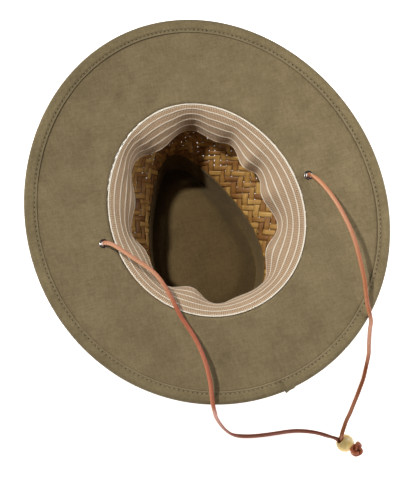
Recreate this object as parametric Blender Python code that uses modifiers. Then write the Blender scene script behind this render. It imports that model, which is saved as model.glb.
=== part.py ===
"""A wide-brimmed canvas sun hat with a woven straw band, lying upside down on its crown.

Units are metres and +Z is up. The origin is on the floor under the middle of the brim, +Y is the
front of the hat. Angles round the hat run from its front towards +X.
"""

import math

import bmesh
import bpy
import numpy as np
from mathutils import Matrix, Vector

# Head opening and crown
HEAD_LENGTH = 0.2000
HEAD_WIDTH = 0.1718
HEAD_EGG = -0.05
CROWN_HEIGHT = 0.1100
CROWN_DENT = 0.0200
CANVAS = 0.0016
STRAW = 0.0020
STRAW_FOOT = 0.0300
SKIRT_LAP = 0.0080

# Brim, reaching out from the head opening, and how high its edge stands over the opening
BRIM_REACH_FRONT = 0.0700
BRIM_REACH_BACK = 0.0751
BRIM_REACH_SIDE = 0.0720
BRIM_EGG = -0.03
BRIM_RISE_FRONT = 0.0230
BRIM_RISE_SIDE = 0.0067
BRIM_RISE_BACK = -0.0027
BRIM_CURL = 1.3
BRIM = 0.0020

# Tape folded over the edge of the brim
TAPE_WIDTH = 0.0100
TAPE = 0.0009

# Band inside the head opening
SWEATBAND_WIDTH = 0.0350
SWEATBAND = 0.0012
SWEATBAND_SEAM = 0.0009

# Eyelets, with the angle and the distance from the head opening of each
EYELET_FLANGE = 0.0042
EYELET_BARREL = 0.0029
EYELET_HOLE = 0.00225
EYELET_STANDING = 0.0007
EYELET_LEFT_ANGLE = math.radians(267.1)
EYELET_LEFT_REACH = 0.0087
EYELET_RIGHT_ANGLE = math.radians(88.8)
EYELET_RIGHT_REACH = 0.0110

# Chin cord, its bead and the knot behind the bead
CORD = 0.0030
BEAD = 0.0160
BEAD_BORE = 0.0072
BEAD_PLACE = (0.0687, -0.2158)
BEAD_TURN = math.radians(137.0)
BEAD_TILT = math.radians(38.0)
KNOT_RING = 0.0038
KNOT_LOOP = 0.0019
KNOT_CORD = 0.0032
KNOT_TURN = math.radians(-40.0)
KNOT_TILT = math.radians(-4.0)
CORD_SPACING = 0.0078

# Held stretch of the chin cord: the angles between which it follows the crown, and how it runs
# straight below the brim and then bends inwards, backwards and down to reach the crown
HELD_FROM = math.radians(250.0)
HELD_TO = math.radians(107.0)
HELD_STRAIGHT = 0.0011
HELD_BEND_IN = 0.0004
HELD_BEND_BACK = 0.0035
HELD_BEND_DOWN = 0.0005
HELD_SPACING = 0.0090

# Clearance between pieces that touch, and the number of facets
GAP = 0.0003
SEGMENTS = 56
SWEATBAND_SEGMENTS = 80
EYELET_SEGMENTS = 14
BEAD_SEGMENTS = 16
KNOT_SEGMENTS = 36
HELD_POINTS = 15

# Crown form, outside: depth as a share of the height, reach and width as shares of the opening's
CROWN_SECTIONS = (
    # depth, reach, width, egg
    (0.00, 1.029, 1.033, -0.05),
    (0.25, 0.995, 0.985, -0.08),
    (0.50, 0.940, 0.860, -0.20),
    (0.727, 0.842, 0.588, -0.36),
    (0.82, 0.795, 0.556, -0.38),
    (0.90, 0.757, 0.521, -0.38),
    (0.96, 0.722, 0.490, -0.37),
    (0.99, 0.698, 0.468, -0.35),
    (1.00, 0.680, 0.452, -0.34),
)
# Heights of the rings of the canvas side, as shares of the straw's foot
CAP_HEIGHTS = (1.0, 0.6, 0.27, 0.07, 0.0)

# Dent in the top of the crown: rise as a share of its depth, reach and width as above
DENT_SECTIONS = (
    # rise, reach, width, egg
    (0.00, 0.652, 0.424, -0.34),
    (0.10, 0.642, 0.412, -0.34),
    (0.45, 0.628, 0.396, -0.33),
    (0.80, 0.608, 0.378, -0.31),
    (0.95, 0.575, 0.350, -0.30),
)
DENT_PEAK = 1.06

# Waves of the sweatband's free edge: how far it stands in, as a share of the band's width
SWEATBAND_WAVES = (
    # angle in degrees, inset
    (13.0, 0.36),
    (31.5, 0.60),
    (43.0, 0.47),
    (60.0, 0.85),
    (71.0, 0.62),
    (90.0, 0.89),
    (109.0, 0.62),
    (134.0, 0.88),
    (153.0, 0.53),
    (176.0, 0.60),
    (190.0, 0.54),
    (210.0, 0.83),
    (232.0, 0.61),
    (256.0, 0.74),
    (275.0, 0.56),
    (295.0, 0.70),
    (324.0, 0.36),
    (345.0, 0.70),
)
# Where the band's profile turns down, as shares of its width and of its free edge's inset
KNEE_REACH = 0.42
KNEE_INSET = 0.8
KNEE_DROP = 0.1

# Routes of the two free ends of the chin cord, from the eyelet to inside the bead
LEFT_ROUTE = (
    (-0.0946, -0.0030, 0.1106),
    (-0.0944, -0.0032, 0.1130),
    (-0.0926, -0.0045, 0.1158),
    (-0.0888, -0.0080, 0.1177),
    (-0.0826, -0.0156, 0.1186),
    (-0.0710, -0.0305, 0.1190),
    (-0.0615, -0.0440, 0.1185),
    (-0.0570, -0.0560, 0.1165),
    (-0.0535, -0.0727, 0.1142),
    (-0.0512, -0.0858, 0.1129),
    (-0.0478, -0.0985, 0.1133),
    (-0.0455, -0.1120, 0.1150),
    (-0.0445, -0.1250, 0.1160),
    (-0.0447, -0.1380, 0.1153),
    (-0.0462, -0.1510, 0.1133),
    (-0.0480, -0.1600, 0.1118),
    (-0.0490, -0.1674, 0.1090),
    (-0.0484, -0.1700, 0.1025),
    (-0.0460, -0.1704, 0.0830),
    (-0.0418, -0.1710, 0.0580),
    (-0.0359, -0.1728, 0.0320),
    (-0.0300, -0.1752, 0.0130),
    (-0.0235, -0.1785, 0.0038),
    (-0.0150, -0.1818, 0.0017),
    (-0.0018, -0.1852, 0.0017),
    (0.0133, -0.1878, 0.0017),
    (0.0280, -0.1903, 0.0017),
    (0.0390, -0.1936, 0.0024),
    (0.0468, -0.1977, 0.0065),
    (0.0526, -0.2022, 0.0120),
    (0.0572, -0.2062, 0.0151),
    (0.0606, -0.2091, 0.0141),
    (0.0640, -0.2124, 0.0104),
    (0.0675, -0.2156, 0.0067),
    (0.0712, -0.2191, 0.0027),
)
RIGHT_ROUTE = (
    (0.0968, 0.0049, 0.1107),
    (0.0970, 0.0045, 0.1132),
    (0.0980, 0.0025, 0.1163),
    (0.1005, -0.0025, 0.1190),
    (0.1045, -0.0121, 0.1208),
    (0.1078, -0.0230, 0.1219),
    (0.1104, -0.0355, 0.1225),
    (0.1122, -0.0485, 0.1225),
    (0.1130, -0.0620, 0.1220),
    (0.1126, -0.0749, 0.1210),
    (0.1117, -0.0880, 0.1193),
    (0.1104, -0.1010, 0.1169),
    (0.1090, -0.1124, 0.1145),
    (0.1082, -0.1215, 0.1132),
    (0.1084, -0.1297, 0.1118),
    (0.1096, -0.1345, 0.1045),
    (0.1114, -0.1374, 0.0860),
    (0.1140, -0.1402, 0.0580),
    (0.1160, -0.1440, 0.0300),
    (0.1160, -0.1480, 0.0120),
    (0.1125, -0.1540, 0.0036),
    (0.1040, -0.1650, 0.0017),
    (0.0930, -0.1780, 0.0017),
    (0.0848, -0.1875, 0.0024),
    (0.0765, -0.1955, 0.0076),
    (0.0693, -0.2015, 0.0150),
    (0.0645, -0.2055, 0.0184),
    (0.0632, -0.2092, 0.0172),
    (0.0661, -0.2125, 0.0133),
    (0.0699, -0.2160, 0.0093),
    (0.0736, -0.2195, 0.0053),
)

# Middle of the head opening, which the unequal brim sets off the origin
OPENING_Y = (BRIM_REACH_BACK - BRIM_REACH_FRONT) / 2
# The tape's fold stands this far past the edge of the brim's own cloth
TAPE_NOSE = BRIM / 2 + GAP + TAPE
# The straw lies inside the canvas skirt
STRAW_INSET = CANVAS + GAP


def oval(reach, width, egg, angle):
    """Plan offset of an oval from its own middle; a negative egg narrows its front."""
    return (
        width * math.sin(angle) * (1 + egg * math.cos(angle)),
        reach * math.cos(angle),
    )


def angles(count):
    """Even angles round the hat, from its front towards +X."""
    return [2 * math.pi * i / count for i in range(count)]


def read_table(table, share):
    """The columns of a table at a share of its first column, on a smooth curve through its rows."""
    rows = np.array(table)
    places = rows[:, 0]
    slopes = np.gradient(rows[:, 1:], places, axis=0)
    i = int(np.clip(np.searchsorted(places, share) - 1, 0, len(places) - 2))
    span = places[i + 1] - places[i]
    u = (share - places[i]) / span
    return (
        rows[i, 1:] * (2 * u**3 - 3 * u**2 + 1)
        + rows[i + 1, 1:] * (3 * u**2 - 2 * u**3)
        + slopes[i] * span * (u**3 - 2 * u**2 + u)
        + slopes[i + 1] * span * (u**3 - u**2)
    )


def crown_ring(height):
    """A ring of points on the outside of the crown at a height over the floor."""
    reach, width, egg = read_table(CROWN_SECTIONS, 1 - height / CROWN_HEIGHT)
    ring = []
    for angle in angles(SEGMENTS):
        x, y = oval(reach * HEAD_LENGTH / 2, width * HEAD_WIDTH / 2, egg, angle)
        ring.append((x, y + OPENING_Y, height))
    return ring


def dent_ring(rise, reach, width, egg):
    """A ring of points in the dent of the crown's top."""
    ring = []
    for angle in angles(SEGMENTS):
        x, y = oval(reach * HEAD_LENGTH / 2, width * HEAD_WIDTH / 2, egg, angle)
        ring.append((x, y + OPENING_Y, rise * CROWN_DENT))
    return ring


def opening_point(angle, inset=0.0):
    """Plan point of the head opening, moved towards its middle by an inset."""
    x, y = oval(HEAD_LENGTH / 2, HEAD_WIDTH / 2, HEAD_EGG, angle)
    shrink = 1 - inset / math.hypot(x, y)
    return x * shrink, y * shrink + OPENING_Y


def brim_point(share, angle):
    """A point of the brim's upper face: share 0 at the head opening and 1 at the cloth's edge."""
    length = (HEAD_LENGTH + BRIM_REACH_FRONT + BRIM_REACH_BACK) / 2 - TAPE_NOSE
    width = HEAD_WIDTH / 2 + BRIM_REACH_SIDE - TAPE_NOSE
    outer_x, outer_y = oval(length, width, BRIM_EGG, angle)
    inner_x, inner_y = opening_point(angle)
    ends = (BRIM_RISE_FRONT + BRIM_RISE_BACK) / 2
    swing = (BRIM_RISE_FRONT - BRIM_RISE_BACK) / 2
    rise = (
        (ends + BRIM_RISE_SIDE) / 2
        + swing * math.cos(angle)
        + (ends - BRIM_RISE_SIDE) / 2 * math.cos(2 * angle)
    )
    return Vector((
        inner_x + share * (outer_x - inner_x),
        inner_y + share * (outer_y - inner_y),
        CROWN_HEIGHT + rise * max(share, 0.0) ** BRIM_CURL,
    ))


def brim_frame(share, angle):
    """Outward direction along the brim's face, and the face's upward normal."""
    step = 0.001
    outward = brim_point(share + step, angle) - brim_point(share - step, angle)
    around = brim_point(share, angle + step) - brim_point(share, angle - step)
    return outward.normalized(), around.cross(outward).normalized()


def material(name, colour, roughness, metallic=0.0):
    """A Principled material of one colour."""
    new = bpy.data.materials.new(name)
    new.use_nodes = True
    shader = new.node_tree.nodes["Principled BSDF"]
    shader.inputs["Base Color"].default_value = (*colour, 1)
    shader.inputs["Roughness"].default_value = roughness
    shader.inputs["Metallic"].default_value = metallic
    return new


def add_object(name, data, parent, finish):
    """Put data into the hat's collection under its parent empty."""
    new = bpy.data.objects.new(name, data)
    bpy.data.collections["sun_hat"].objects.link(new)
    new.parent = parent
    data.materials.append(finish)
    return new


def loft(name, rings, parent, finish, centre=None):
    """A surface through rings of points. Rings that grow outwards face up."""
    bm = bmesh.new()
    rows = [[bm.verts.new(point) for point in ring] for ring in rings]
    for first, second in zip(rows, rows[1:]):
        for i in range(len(first)):
            j = (i + 1) % len(first)
            bm.faces.new((first[i], first[j], second[j], second[i]))
    if centre:
        tip = bm.verts.new(centre)
        last = rows[-1]
        for i in range(len(last)):
            bm.faces.new((last[i], last[(i + 1) % len(last)], tip))
    mesh = bpy.data.meshes.new(name)
    bm.to_mesh(mesh)
    bm.free()
    mesh.shade_smooth()
    return add_object(name, mesh, parent, finish)


def add_wall(piece, thickness, offset):
    """Give a surface its thickness, behind its face (-1) or in front of it (1)."""
    wall = piece.modifiers.new("wall", "SOLIDIFY")
    wall.thickness = thickness
    wall.offset = offset
    wall.use_even_offset = True


def turned(name, profile, steps, parent, finish):
    """A closed profile of (radius, height) points turned round +Z."""
    bm = bmesh.new()
    points = [bm.verts.new((radius, 0, height)) for radius, height in profile]
    for i in range(len(points)):
        bm.edges.new((points[i], points[(i + 1) % len(points)]))
    mesh = bpy.data.meshes.new(name)
    bm.to_mesh(mesh)
    bm.free()
    piece = add_object(name, mesh, parent, finish)
    screw = piece.modifiers.new("turn", "SCREW")
    screw.steps = steps
    screw.render_steps = steps
    screw.use_merge_vertices = True
    screw.merge_threshold = 0.00002
    return piece


def smooth_route(points, spacing):
    """Points at an even spacing on a natural cubic spline through the route's own points.

    One more point near each end keeps the cord straight where it passes an eyelet or the bead.
    """
    points = np.array(points)
    spans = np.linalg.norm(np.diff(points, axis=0), axis=1)
    count = len(points)
    matrix = np.eye(count)
    change = np.zeros((count, 3))
    for i in range(1, count - 1):
        matrix[i, i - 1 : i + 2] = spans[i - 1], 2 * (spans[i - 1] + spans[i]), spans[i]
        ahead = (points[i + 1] - points[i]) / spans[i]
        behind = (points[i] - points[i - 1]) / spans[i - 1]
        change[i] = 6 * (ahead - behind)
    bend = np.linalg.solve(matrix, change)
    fine = []
    for i in range(count - 1):
        for u in np.linspace(0, 1, 12, endpoint=i == count - 2):
            v = 1 - u
            lean = (v**3 - v) * bend[i] + (u**3 - u) * bend[i + 1]
            fine.append(v * points[i] + u * points[i + 1] + lean * spans[i] ** 2 / 6)
    fine = np.array(fine)
    along = np.concatenate([[0], np.cumsum(np.linalg.norm(np.diff(fine, axis=0), axis=1))])
    stops = np.linspace(0, along[-1], round(along[-1] / spacing) + 1)
    stops = np.sort([*stops, CORD, along[-1] - CORD])
    return np.stack([np.interp(stops, along, fine[:, axis]) for axis in range(3)], axis=1)


def tube(name, points, diameter, parent, finish, closed=False):
    """A round cord along a list of points."""
    curve = bpy.data.curves.new(name, "CURVE")
    curve.dimensions = "3D"
    curve.bevel_depth = diameter / 2
    curve.bevel_resolution = 2
    curve.use_fill_caps = not closed
    spline = curve.splines.new("POLY")
    spline.points.add(len(points) - 1)
    spline.use_cyclic_u = closed
    for place, point in zip(spline.points, points):
        place.co = (*point, 1)
    return add_object(name, curve, parent, finish)


def facing(turn, tilt):
    """A unit direction from its turn from +X and its tilt over the floor."""
    level = math.cos(tilt)
    return Vector((level * math.cos(turn), level * math.sin(turn), math.sin(tilt)))


def eyelet_place(angle, reach):
    """Matrix that stands an eyelet on the brim's upper face, with +Z out of the face."""
    x, y = opening_point(angle, -reach)
    inner = brim_point(0, angle)
    outer = brim_point(1, angle)
    share = reach / math.hypot(outer.x - inner.x, outer.y - inner.y)
    normal = brim_frame(share, angle)[1]
    turn = normal.to_track_quat("Z", "Y").to_matrix().to_4x4()
    return Matrix.Translation((x, y, brim_point(share, angle).z)) @ turn


def make_brim(parent, finish, eyelets):
    """The brim's two plies of canvas as one wall, with a hole for each eyelet."""
    shares = (0.0, 0.2, 0.45, 0.72, 1.0)
    rings = [[brim_point(share, angle) for angle in angles(SEGMENTS)] for share in shares]
    brim = loft("brim", rings, parent, finish)
    add_wall(brim, BRIM, -1)
    cutters = bpy.data.collections["cutters"]
    for place in eyelets:
        bm = bmesh.new()
        bmesh.ops.create_cone(
            bm, cap_ends=True, segments=16, radius1=EYELET_BARREL + GAP,
            radius2=EYELET_BARREL + GAP, depth=4 * BRIM, matrix=place,
        )
        mesh = bpy.data.meshes.new("eyelet_cutter")
        bm.to_mesh(mesh)
        bm.free()
        cutter = bpy.data.objects.new("eyelet_cutter", mesh)
        cutters.objects.link(cutter)
        cutter.hide_render = True
        cutter.display_type = "WIRE"
        cut = brim.modifiers.new("eyelet hole", "BOOLEAN")
        cut.operation = "DIFFERENCE"
        cut.object = cutter


def make_tape(parent, finish):
    """The binding tape, folded over the brim's edge with a round nose."""
    bends = (0.0, 60.0, 120.0, 180.0)
    lift = BRIM / 2 + GAP
    rings = [[] for _ in range(len(bends) + 2)]
    for angle in angles(SEGMENTS):
        edge = brim_point(1, angle)
        inner = brim_point(0, angle)
        back = TAPE_WIDTH / (edge - inner).length
        outward, normal = brim_frame(1, angle)
        lip = brim_point(1 - back, angle)
        lip_normal = brim_frame(1 - back, angle)[1]
        middle = edge - normal * BRIM / 2
        rings[0].append(lip + lip_normal * GAP)
        for ring, bend in zip(rings[1:-1], bends):
            turn = math.radians(bend)
            ring.append(middle + (outward * math.sin(turn) + normal * math.cos(turn)) * lift)
        rings[-1].append(lip - lip_normal * (BRIM + GAP))
    tape = loft("brim_binding", rings, parent, finish)
    add_wall(tape, TAPE, 1)


def make_straw(parent, finish):
    """The woven straw wall of the crown, from under the brim down into the canvas skirt."""
    top = CROWN_HEIGHT - BRIM - 2 * GAP
    lap = STRAW_FOOT + SKIRT_LAP
    heights = [top + (lap - top) * step / 4 for step in range(5)]
    rings = [crown_ring(height) for height in (*heights, STRAW_FOOT)]
    straw = loft("straw_band", rings, parent, finish)
    inset = straw.modifiers.new("inset", "DISPLACE")
    inset.direction = "NORMAL"
    inset.mid_level = 0
    inset.strength = -STRAW_INSET
    add_wall(straw, STRAW, -1)


def make_cap(parent, finish):
    """The canvas top of the crown: a skirt over the straw, a flat ridge and the dent."""
    skirt = STRAW_FOOT + SKIRT_LAP
    sides = [share * STRAW_FOOT for share in CAP_HEIGHTS]
    rings = [crown_ring(height) for height in (skirt, *sides)]
    rings += [dent_ring(*section) for section in DENT_SECTIONS]
    peak = (0, OPENING_Y, DENT_PEAK * CROWN_DENT)
    cap = loft("crown_cap", rings, parent, finish, centre=peak)
    add_wall(cap, CANVAS, -1)


def wave_inset(angle):
    """How far the sweatband's free edge stands in, as a share of the band's width."""
    degrees = math.degrees(angle)
    for here, after in zip(SWEATBAND_WAVES, SWEATBAND_WAVES[1:] + SWEATBAND_WAVES[:1]):
        span = (after[0] - here[0]) % 360
        part = (degrees - here[0]) % 360
        if part < span:
            ease = (1 - math.cos(math.pi * part / span)) / 2
            return here[1] + (after[1] - here[1]) * ease
    return SWEATBAND_WAVES[0][1]


def make_sweatband(parent, finish):
    """The band inside the opening: sewn flat at the edge, hanging into the crown in waves."""
    shares = (0.0, 0.18, 0.4, 0.6, 0.8, 1.0)
    rings = []
    for share in reversed(shares):
        ring = []
        for angle in angles(SWEATBAND_SEGMENTS):
            inset = wave_inset(angle) * SWEATBAND_WIDTH
            drop = math.sqrt(SWEATBAND_WIDTH**2 - inset**2)
            knee_inset = min(KNEE_REACH * SWEATBAND_WIDTH, KNEE_INSET * inset)
            knee_drop = KNEE_DROP * SWEATBAND_WIDTH
            bow = 2 * share * (1 - share)
            in_by = bow * knee_inset + share**2 * inset
            down_by = bow * knee_drop + share**2 * drop
            x, y = opening_point(angle, SWEATBAND_SEAM + in_by)
            ring.append((x, y, CROWN_HEIGHT - GAP - down_by))
        rings.append(ring)
    band = loft("sweatband", rings, parent, finish)
    add_wall(band, SWEATBAND, -1)


def make_eyelet(name, place, parent, finish):
    """A steel eyelet: a flange over the brim, a barrel through it and a rolled flange below."""
    top = GAP + EYELET_STANDING
    under = -BRIM - GAP
    lip = EYELET_STANDING / 4
    profile = (
        (EYELET_HOLE + lip, top),
        (EYELET_FLANGE - lip, top),
        (EYELET_FLANGE, top - lip),
        (EYELET_FLANGE, GAP),
        (EYELET_BARREL, GAP),
        (EYELET_BARREL, under),
        (EYELET_FLANGE, under),
        (EYELET_FLANGE - lip, under - EYELET_STANDING),
        (EYELET_HOLE + lip, under - EYELET_STANDING),
        (EYELET_HOLE, under),
        (EYELET_HOLE, GAP),
    )
    eyelet = turned(name, profile, EYELET_SEGMENTS, parent, finish)
    eyelet.matrix_world = place


def make_crown_cord(parent, finish, places):
    """The held stretch of the chin cord: under the brim, round the back of the crown."""
    lift = CROWN_HEIGHT - BRIM - GAP - CORD
    reach, width, egg = read_table(CROWN_SECTIONS, 1 - lift / CROWN_HEIGHT)
    room = GAP + CORD / 2 - STRAW_INSET + GAP
    centres = [place.translation for place in places]
    route = []
    for angle in np.linspace(HELD_FROM, HELD_TO, HELD_POINTS):
        x, y = oval(reach * HEAD_LENGTH / 2 + room, width * HEAD_WIDTH / 2 + room, egg, angle)
        route.append((x, y + OPENING_Y, lift))
    left, right = centres
    start = [
        left + Vector((0, 0, -GAP)),
        left + Vector((0, 0, -BRIM - HELD_STRAIGHT)),
        left + Vector((HELD_BEND_IN, -HELD_BEND_BACK, -BRIM - CORD - HELD_BEND_DOWN)),
    ]
    end = [
        right + Vector((-HELD_BEND_IN, -HELD_BEND_BACK, -BRIM - CORD - HELD_BEND_DOWN)),
        right + Vector((0, 0, -BRIM - HELD_STRAIGHT)),
        right + Vector((0, 0, -GAP)),
    ]
    points = smooth_route([*start, *route, *end], HELD_SPACING)
    tube("chin_cord_crown", points, CORD, parent, finish)


def make_bead(parent, finish):
    """The wooden bead that slides on both cord ends, a round ball drilled through."""
    radius = BEAD / 2
    bore = BEAD_BORE / 2
    face = math.acos(bore / radius)
    profile = [(radius * math.cos(a), radius * math.sin(a))
               for a in np.linspace(face, -face, 9)]
    bead = turned("cord_bead", profile, BEAD_SEGMENTS, parent, finish)
    axis = facing(BEAD_TURN, BEAD_TILT)
    place = Matrix.Translation((*BEAD_PLACE, radius))
    bead.matrix_world = place @ axis.to_track_quat("Z", "Y").to_matrix().to_4x4()


def make_knot(parent, finish):
    """The overhand knot behind the bead, drawn up to the bead and lying on the floor."""
    away = facing(KNOT_TURN, KNOT_TILT)
    turn = away.to_track_quat("Z", "Y").to_matrix()
    points = []
    for angle in angles(KNOT_SEGMENTS):
        ring = KNOT_RING + KNOT_LOOP * math.cos(3 * angle)
        points.append(turn @ Vector((
            ring * math.cos(2 * angle),
            ring * math.sin(2 * angle),
            KNOT_LOOP * math.sin(3 * angle),
        )))
    lowest = min(point.z for point in points) - KNOT_CORD / 2
    away_by = BEAD / 2 - GAP + KNOT_LOOP + KNOT_CORD / 2
    centre = Vector((
        BEAD_PLACE[0] + away.x * away_by,
        BEAD_PLACE[1] + away.y * away_by,
        GAP - lowest,
    ))
    tube("cord_knot", [centre + point for point in points], KNOT_CORD, parent, finish, closed=True)


def main():
    for old in list(bpy.data.objects):
        bpy.data.objects.remove(old, do_unlink=True)
    for name in ("sun_hat", "cutters"):
        bpy.context.scene.collection.children.link(bpy.data.collections.new(name))
    hat = bpy.data.objects.new("hat", None)
    bpy.data.collections["sun_hat"].objects.link(hat)

    canvas = material("olive canvas", (0.21, 0.16, 0.09), 0.85)
    tape = material("olive tape", (0.24, 0.19, 0.11), 0.8)
    straw = material("woven straw", (0.36, 0.20, 0.07), 0.6)
    cotton = material("beige sweatband", (0.62, 0.51, 0.38), 0.9)
    steel = material("dark steel", (0.16, 0.15, 0.14), 0.35, 0.9)
    leather = material("tan leather", (0.42, 0.16, 0.07), 0.5)
    wood = material("pale wood", (0.62, 0.38, 0.14), 0.4)

    left = eyelet_place(EYELET_LEFT_ANGLE, EYELET_LEFT_REACH)
    right = eyelet_place(EYELET_RIGHT_ANGLE, EYELET_RIGHT_REACH)
    make_brim(hat, canvas, (left, right))
    make_tape(hat, tape)
    make_straw(hat, straw)
    make_cap(hat, canvas)
    make_sweatband(hat, cotton)
    make_eyelet("eyelet_left", left, hat, steel)
    make_eyelet("eyelet_right", right, hat, steel)
    make_crown_cord(hat, leather, (left, right))
    tube("chin_cord_left", smooth_route(LEFT_ROUTE, CORD_SPACING), CORD, hat, leather)
    tube("chin_cord_right", smooth_route(RIGHT_ROUTE, CORD_SPACING), CORD, hat, leather)
    make_bead(hat, wood)
    make_knot(hat, leather)


main()
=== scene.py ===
"""The looks of a canvas sun hat with a woven straw band, lying upside down on its crown.

Metres, +Z up, +Y the front of the hat. Angles round the hat run from its front towards +X.
"""

import math

import bmesh
import bpy
import numpy as np
from mathutils import Matrix, Vector
from mathutils.noise import noise


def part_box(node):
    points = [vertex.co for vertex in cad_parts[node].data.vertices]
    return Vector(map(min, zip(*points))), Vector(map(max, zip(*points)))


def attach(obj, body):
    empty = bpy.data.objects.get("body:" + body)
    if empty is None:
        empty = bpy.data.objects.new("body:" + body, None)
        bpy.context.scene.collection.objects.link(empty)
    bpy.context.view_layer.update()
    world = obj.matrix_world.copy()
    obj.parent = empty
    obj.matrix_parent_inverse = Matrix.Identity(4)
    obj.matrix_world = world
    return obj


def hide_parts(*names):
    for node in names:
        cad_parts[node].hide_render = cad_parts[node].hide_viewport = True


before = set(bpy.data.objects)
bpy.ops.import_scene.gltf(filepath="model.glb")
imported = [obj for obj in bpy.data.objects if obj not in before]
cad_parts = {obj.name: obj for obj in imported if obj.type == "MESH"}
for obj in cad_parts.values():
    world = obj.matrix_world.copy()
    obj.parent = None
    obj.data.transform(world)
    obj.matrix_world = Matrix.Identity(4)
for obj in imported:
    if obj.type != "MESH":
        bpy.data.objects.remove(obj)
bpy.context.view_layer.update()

# The studio: a pale floor, a key lamp from the front left, a broad lamp on the left, and two weak
# ones close by, on the right and low down behind. The camera looks down into the upturned hat,
# from behind it and a little to its left.

CAMERA_TURN = math.radians(-31.56)
CAMERA_ELEVATION = math.radians(71.79)
CAMERA_ROLL = math.radians(13.94)
CAMERA_DISTANCE = 1.6
CAMERA_TARGET = Vector((-0.0070, -0.0255, 0.1100))
CAMERA_LENS = 138.3
LAMPS = (
    # name, way to it from the hat, distance, size, watts, colour
    ("key", (-0.49, 0.42, 1.0), 1.6, 0.11, 17.5, (1.0, 0.97, 0.92)),
    ("side", (0.40, -0.05, 0.20), 0.45, 0.3, 1.1, (1.0, 0.98, 0.94)),
    ("left", (-0.9, 0.35, 0.5), 2.0, 1.2, 13, (1.0, 0.99, 0.97)),
    ("low back", (0.15, -0.8, 0.03), 0.6, 0.16, 0.6, (1.0, 0.97, 0.92)),
)
LAMP_AIM = Vector((0, 0, 0.1))
WORLD_LIGHT = 0.035
FLOOR_TONE = 0.93
FLOOR_GLOW = 0.85
FLOOR_REACH = 3.0
FLOOR_DROP = 0.0005


def add_camera():
    data = bpy.data.cameras.new("camera")
    data.lens = CAMERA_LENS
    data.sensor_width = 36
    data.clip_start = 0.05
    camera = bpy.data.objects.new("camera", data)
    bpy.context.scene.collection.objects.link(camera)
    camera.matrix_world = (
        Matrix.Translation(CAMERA_TARGET)
        @ Matrix.Rotation(CAMERA_TURN, 4, "Z")
        @ Matrix.Rotation(math.pi / 2 - CAMERA_ELEVATION, 4, "X")
        @ Matrix.Rotation(CAMERA_ROLL, 4, "Z")
        @ Matrix.Translation((0, 0, CAMERA_DISTANCE))
    )
    bpy.context.scene.camera = camera


def add_lamp(name, way, distance, size, power, colour):
    """A round area lamp that stands off from the hat's middle and faces it."""
    data = bpy.data.lights.new(name, "AREA")
    data.shape = "DISK"
    data.size = size
    data.energy = power
    data.color = colour
    lamp = bpy.data.objects.new(name, data)
    bpy.context.scene.collection.objects.link(lamp)
    away = Vector(way).normalized()
    turn = away.to_track_quat("Z", "Y").to_matrix().to_4x4()
    lamp.matrix_world = Matrix.Translation(away * distance + LAMP_AIM) @ turn


add_camera()
for lamp_row in LAMPS:
    add_lamp(*lamp_row)

world = bpy.data.worlds.new("studio")
world.use_nodes = True
world.node_tree.nodes["Background"].inputs["Color"].default_value = (1, 1, 1, 1)
world.node_tree.nodes["Background"].inputs["Strength"].default_value = WORLD_LIGHT
bpy.context.scene.world = world
bpy.context.scene.view_settings.view_transform = "Standard"


# Materials are Principled shaders whose colour, roughness and bump come from nodes. The two small
# classes here write those nodes: one for sums on sockets, one for a whole finish.


class Value:
    """A shader socket that can be used in sums, and adds the Math nodes for them."""

    def __init__(self, finish, socket):
        self.finish = finish
        self.socket = socket

    def math(self, operation, *others, clamp=False):
        settings = {"operation": operation, "use_clamp": clamp}
        return self.finish.node("ShaderNodeMath", settings, dict(enumerate((self, *others))))

    def __add__(self, other):
        return self.math("ADD", other)

    def __sub__(self, other):
        return self.math("SUBTRACT", other)

    def __rsub__(self, other):
        return (self * -1) + other

    def __mul__(self, other):
        return self.math("MULTIPLY", other)

    __radd__ = __add__
    __rmul__ = __mul__

    def clipped(self):
        return self.math("ADD", 0.0, clamp=True)


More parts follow.
